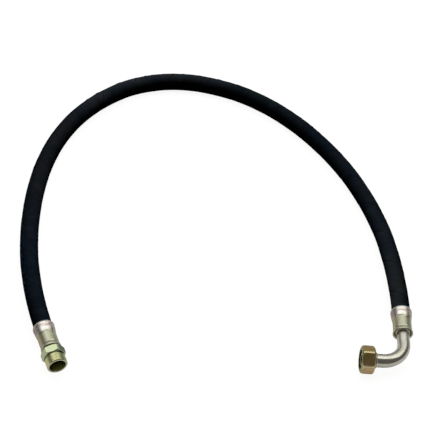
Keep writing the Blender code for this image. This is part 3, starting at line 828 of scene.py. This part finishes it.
def plated_look(name, tints, wear, rough=(0.25, 0.35), patch=90, lathe=0.12, along=None, bore=None,
                painted_shades=(), dull=None):
    """Zinc plating: tints drift over the surface, with fine turning lines, pale worn edges and painted
    shade in inward creases.
    along is (low, high, colours): tints that take over between two heights of the piece's own Z.
    bore is (radius, left): painted shade inside the bore; nearer to the axis than radius only left, a
    share, of the colour remains.
    Each of shades is (degrees, colour, other): painted shade that multiplies the side facing that angle
    round local Z, darkening it as if less light reached it, with the other colour where the tints of
    along have taken over.
    dull is (low, high, rise): roughness goes up by rise between two values of the piece's own Y."""
    look = Shader(name, Metallic=1.0)
    spots = look.scaled((1, 1, 1))
    drift = look.noise(spots, patch, 3, 0.5, 0.4)
    color = look.ramp(drift, tints)
    share = 0.0
    if along is not None:
        low, high, others = along
        ragged = look.math("MULTIPLY_ADD", look.noise(spots, 240, 3), 2 * RAGGED_EDGE)
        look.link(look.split(spots)["Z"], ragged.node.inputs[2])
        share = look.remap(ragged, low + RAGGED_EDGE, high + RAGGED_EDGE, 0.0, 1.0)
        color = look.mix(share, color, look.ramp(drift, others))
    # painted shade: the side facing each given angle is darkened by multiplying its colour
    for degrees, shade_tint, other in painted_shades:
        outward = look.vector_math("NORMALIZE", look.scaled((1, 1, 0)))
        facing = look.vector_math("DOT_PRODUCT", outward.outputs["Vector"])
        facing.inputs[1].default_value = direction(math.radians(degrees))
        side = look.remap(facing.outputs["Value"], 0.5, 0.85, 0.0, 1.0)
        color = look.mix(side, color, look.mix(share, shade_tint, other), "MULTIPLY")
    lines = look.noise(look.scaled((12, 12, 1500)), 1.0, 3, 0.6)
    color = look.mix(look.remap(lines, 0.3, 0.75, 0.0, 0.14), color, (0.35, 0.33, 0.24), "MULTIPLY")
    stain = look.greys(look.noise(spots, 300, 3, 0.6), [(0.62, 0), (0.78, 1)])
    color = look.mix(look.math("MULTIPLY", stain, 0.07), color, (0.16, 0.13, 0.08))
    bend = look.node("ShaderNodeAttribute", attribute_name="bend").outputs["Fac"]
    broken = look.remap(look.noise(spots, 600, 3), 0.3, 0.55, 0.7, 1.0)
    worn = look.math("MULTIPLY", look.remap(bend, 0.0, 1.0, 0.0, 0.85), broken)
    color = look.mix(worn, color, wear)
    # painted shade: inward creases are darkened as if shade fell in them
    color = look.mix(look.remap(bend, -1.0, 0.0, 0.4, 0.0), color, (0.05, 0.045, 0.03))
    # painted shade: the colour inside the bore is darkened as if shade filled it
    if bore is not None:
        radius, left = bore
        across = look.vector_math("LENGTH", look.scaled((1, 1, 0)))
        inside = look.remap(across.outputs["Value"], radius - 0.0003, radius, 1.0, 0.0)
        color = look.mix(inside, color, (left, left, left * 0.8), "MULTIPLY")
    roughness = look.remap(look.noise(spots, 160, 3, 0.5), 0.3, 0.7, *rough)
    if dull is not None:
        low, high, rise = dull
        added = look.remap(look.split(spots)["Y"], low, high, 0.0, rise)
        roughness = look.math("ADD", roughness, added)
    normal = look.bump(lines, lathe, 0.00002)
    normal = look.bump(look.noise(spots, 200, 2), 0.04, 0.00006, normal)
    return look.finish(color, roughness, normal)


# ---------------------------------------------------------------- floor, world and lights
WHITE = (1, 1, 1, 1)
FLOOR_RADIUS = 14.0
FLOOR_COLOR = (0.85, 0.85, 0.85, 1)     # as the light and the reflections meet it
FLOOR_FILL = 0.16
FLOOR_SHADOW_CATCH = (0.2, 0.2, 0.2, 1)     # as the camera sees it, under the glow
FLOOR_GLOW = 0.92
WORLD_COLOR = (0.125, 0.118, 0.11, 1)


def choose_by_camera(tree, for_light, for_camera, surface):
    """Shows the camera one shader and everything else another."""
    path = tree.nodes.new("ShaderNodeLightPath")
    choice = tree.nodes.new("ShaderNodeMixShader")
    tree.links.new(path.outputs["Is Camera Ray"], choice.inputs[0])
    tree.links.new(for_light, choice.inputs[1])
    tree.links.new(for_camera, choice.inputs[2])
    tree.links.new(choice.outputs[0], surface)


def glowing_paper(tree, color, strength):
    """A diffuse shader of a colour, with white light of a strength added to it."""
    paper = tree.nodes.new("ShaderNodeBsdfDiffuse")
    paper.inputs["Color"].default_value = color
    glow = tree.nodes.new("ShaderNodeEmission")
    glow.inputs["Color"].default_value = WHITE
    glow.inputs["Strength"].default_value = strength
    both = tree.nodes.new("ShaderNodeAddShader")
    tree.links.new(paper.outputs[0], both.inputs[0])
    tree.links.new(glow.outputs[0], both.inputs[1])
    return both.outputs[0]


def make_floor():
    mesh = bpy.data.meshes.new("floor")
    rim = [(FLOOR_RADIUS * math.cos(a), FLOOR_RADIUS * math.sin(a), 0) for a in even_angles(96)]
    mesh.from_pydata(rim, [], [list(range(len(rim)))])
    material = bpy.data.materials.new("floor_look")
    material.use_nodes = True
    tree = material.node_tree
    tree.nodes.clear()
    out = tree.nodes.new("ShaderNodeOutputMaterial")
    lit = glowing_paper(tree, FLOOR_COLOR, FLOOR_FILL)
    seen = glowing_paper(tree, FLOOR_SHADOW_CATCH, FLOOR_GLOW)
    choose_by_camera(tree, lit, seen, out.inputs["Surface"])
    mesh.materials.append(material)
    floor = bpy.data.objects.new("floor", mesh)
    bpy.context.scene.collection.objects.link(floor)


def make_world():
    world = bpy.data.worlds.new("studio")
    world.use_nodes = True
    tree = world.node_tree
    plain = tree.nodes["Background"]
    plain.inputs["Color"].default_value = WORLD_COLOR
    plain.inputs["Strength"].default_value = 1.0
    white = tree.nodes.new("ShaderNodeBackground")
    white.inputs["Color"].default_value = WHITE
    surface = tree.nodes["World Output"].inputs["Surface"]
    choose_by_camera(tree, plain.outputs[0], white.outputs[0], surface)
    bpy.context.scene.world = world


def make_softbox(name, place, aim, size, watts):
    """An oblong area light at place that shines toward aim."""
    data = bpy.data.lights.new(name, "AREA")
    data.shape = "RECTANGLE"
    data.size, data.size_y = size
    data.energy = watts
    light = bpy.data.objects.new(name, data)
    away = Vector(place) - Vector(aim)
    light.matrix_world = Matrix.Translation(place) @ away.to_track_quat("Z", "Y").to_matrix().to_4x4()
    light.visible_camera = False
    bpy.context.scene.collection.objects.link(light)


bpy.context.scene.view_settings.view_transform = "Standard"
make_camera()
make_floor()
make_world()
make_softbox("overhead", (-0.2, 0.72, 2.0), (-0.2, 0.72, 0.0), (4.8, 1.6), 32)
make_softbox("behind", (-0.1, 2.35, 1.9), (-0.1, 2.0, 0.0), (4.8, 1.6), 17)
make_softbox("backdrop", (-0.1, 4.5, 0.55), (-0.1, 0.0, 0.55), (7.0, 1.0), 8)

# ---------------------------------------------------------------- the assembly
bell_tints = [
    (0.30, (0.66, 0.64, 0.54)), (0.43, (0.90, 0.90, 0.86)), (0.57, (0.88, 0.87, 0.81)),
    (0.66, (0.80, 0.68, 0.64)), (0.75, (0.60, 0.48, 0.36)),
]
waist_tints = [
    (0.30, (0.48, 0.44, 0.29)), (0.44, (0.55, 0.58, 0.42)), (0.58, (0.57, 0.57, 0.42)),
    (0.70, (0.54, 0.46, 0.33)),
]
ferrule_look = plated_look(
    "ferrule_zinc_look", bell_tints, (0.70, 0.69, 0.56), rough=(0.34, 0.42),
    along=(0.012, 0.0165, waist_tints),
    # painted shade on the ferrules' left and right sides, tinted pinkish-brown
    painted_shades=(
        (180, (0.46, 0.38, 0.37), (0.90, 0.78, 0.68)), (0, (0.55, 0.48, 0.40), (0.90, 0.90, 0.82)),
    ),
)
hexagon_tints = [
    (0.30, (0.54, 0.57, 0.30)), (0.44, (0.57, 0.63, 0.36)), (0.58, (0.58, 0.65, 0.41)),
    (0.70, (0.46, 0.58, 0.41)),
]
stud_tints = [
    (0.30, (0.70, 0.63, 0.28)), (0.50, (0.73, 0.73, 0.39)), (0.70, (0.66, 0.69, 0.36)),
]
yellow = plated_look(
    "yellow_zinc_look", hexagon_tints, (0.60, 0.61, 0.42), rough=(0.26, 0.32),
    # bore: painted shade darkens the inside of the stud's mouth
    along=(0.0505, 0.0535, stud_tints), bore=(0.01035, 0.6),
    # painted shade on the hexagon's side facing 20 degrees round the fitting
    painted_shades=((20, (0.17, 0.25, 0.24), (0.55, 0.62, 0.58)),),
)
silver_tints = [
    (0.30, (0.56, 0.54, 0.43)), (0.50, (0.64, 0.63, 0.54)), (0.70, (0.66, 0.66, 0.59)),
]
silver = plated_look("silver_zinc_look", silver_tints, (0.80, 0.78, 0.70), rough=(0.21, 0.27))
tube_zinc = plated_look(
    "tube_zinc_look", silver_tints, (0.80, 0.78, 0.70), rough=(0.20, 0.26), lathe=0.0,
    dull=(-0.008, 0.016, 0.13),
)
bronze_tints = [
    (0.32, (0.46, 0.36, 0.12)), (0.46, (0.56, 0.41, 0.15)), (0.58, (0.68, 0.46, 0.28)),
    (0.72, (0.46, 0.44, 0.16)),
]
ring_tints = [(0.3, (0.22, 0.25, 0.07)), (0.6, (0.34, 0.38, 0.14))]
bronze = plated_look(
    "bronze_zinc_look", bronze_tints, (0.95, 0.88, 0.66), rough=(0.22, 0.30), patch=45,
    # bore: painted shade darkens the inside of the nut
    along=(0.0553, 0.0568, ring_tints), bore=(0.0129, 0.3),
)
# the cone head's bronze plating, darkened as painted shade because it sits inside the nut's mouth
shaded_bronze = plated_look("head_zinc_shaded_look", [
    (0.3, (0.20, 0.15, 0.06)), (0.5, (0.30, 0.23, 0.10)), (0.7, (0.24, 0.23, 0.09)),
], (0.45, 0.38, 0.22), rough=(0.28, 0.36))
filler = plated_look("braze_look", [
    (0.3, (0.62, 0.62, 0.48)), (0.7, (0.76, 0.77, 0.66)),
], (0.85, 0.85, 0.74), rough=(0.35, 0.5), lathe=0.0)

hose, hose_layers, hose_line = make_hose(
    hose_rubber_look(), braid_look(),
    plain_rubber_look("liner_rubber_look", (0.012, 0.012, 0.012), (0.03, 0.03, 0.032)),
)

male_frame = frame_at(MALE_MOUTH, MALE_HEADING)
elbow_frame = frame_at(ELBOW_MOUTH, ELBOW_HEADING)
corner = ELBOW_MOUTH + direction(ELBOW_HEADING) * CORNER_FROM_MOUTH
nut_frame = frame_at(corner, math.pi)

# inside outlines of the ferrules, from the end back to the mouth: (r, z, rounding) in millimetres
CLOSED_INSIDE = (
    (8.8, 37.8, 0.3), (8.8, 35.4, 0.2), (10.6, 35.4, 0.2), (10.6, 9.5, 0.3), (12.35, 7.5, 0.3),
    (12.35, 0.0, 0.15),
)
OPEN_INSIDE = (
    (12.3, 37.8, 0.2), (11.3, 37.2, 0.6), (10.7, 35.9, 0.6), (10.6, 30.8, 0.3), (8.8, 30.8, 0.3),
    (8.8, 28.4, 0.2), (10.6, 28.4, 0.2), (10.6, 9.5, 0.3), (12.35, 7.5, 0.3), (12.35, 0.0, 0.15),
)
make_ferrule("male_crimped_ferrule", "male_ferrule", male_frame, ferrule_look, CLOSED_INSIDE, 3)
make_ferrule(
    "elbow_crimped_ferrule", "elbow_ferrule", elbow_frame, ferrule_look, OPEN_INSIDE, 8,
    dents=[(15.6 * MM, math.radians(52), 1.1 * MM, 0.5 * MM)],
)
make_male_end(male_frame, yellow)
make_tail(elbow_frame, silver)
make_elbow_tube(tube_zinc)
make_braze("tail_braze_fillet", "tail_braze", elbow_frame, filler, 33.4, 1, 8.4, 10.1, 3.4)
make_cone_head(nut_frame, shaded_bronze)
make_braze("head_braze_fillet", "head_braze", nut_frame, filler, 37.7, -1, 8.95, 10.0, 1.0)
make_o_ring(nut_frame, plain_rubber_look("nitrile_look", (0.008, 0.008, 0.008), (0.02, 0.02, 0.022)))
make_nut(nut_frame, bronze)
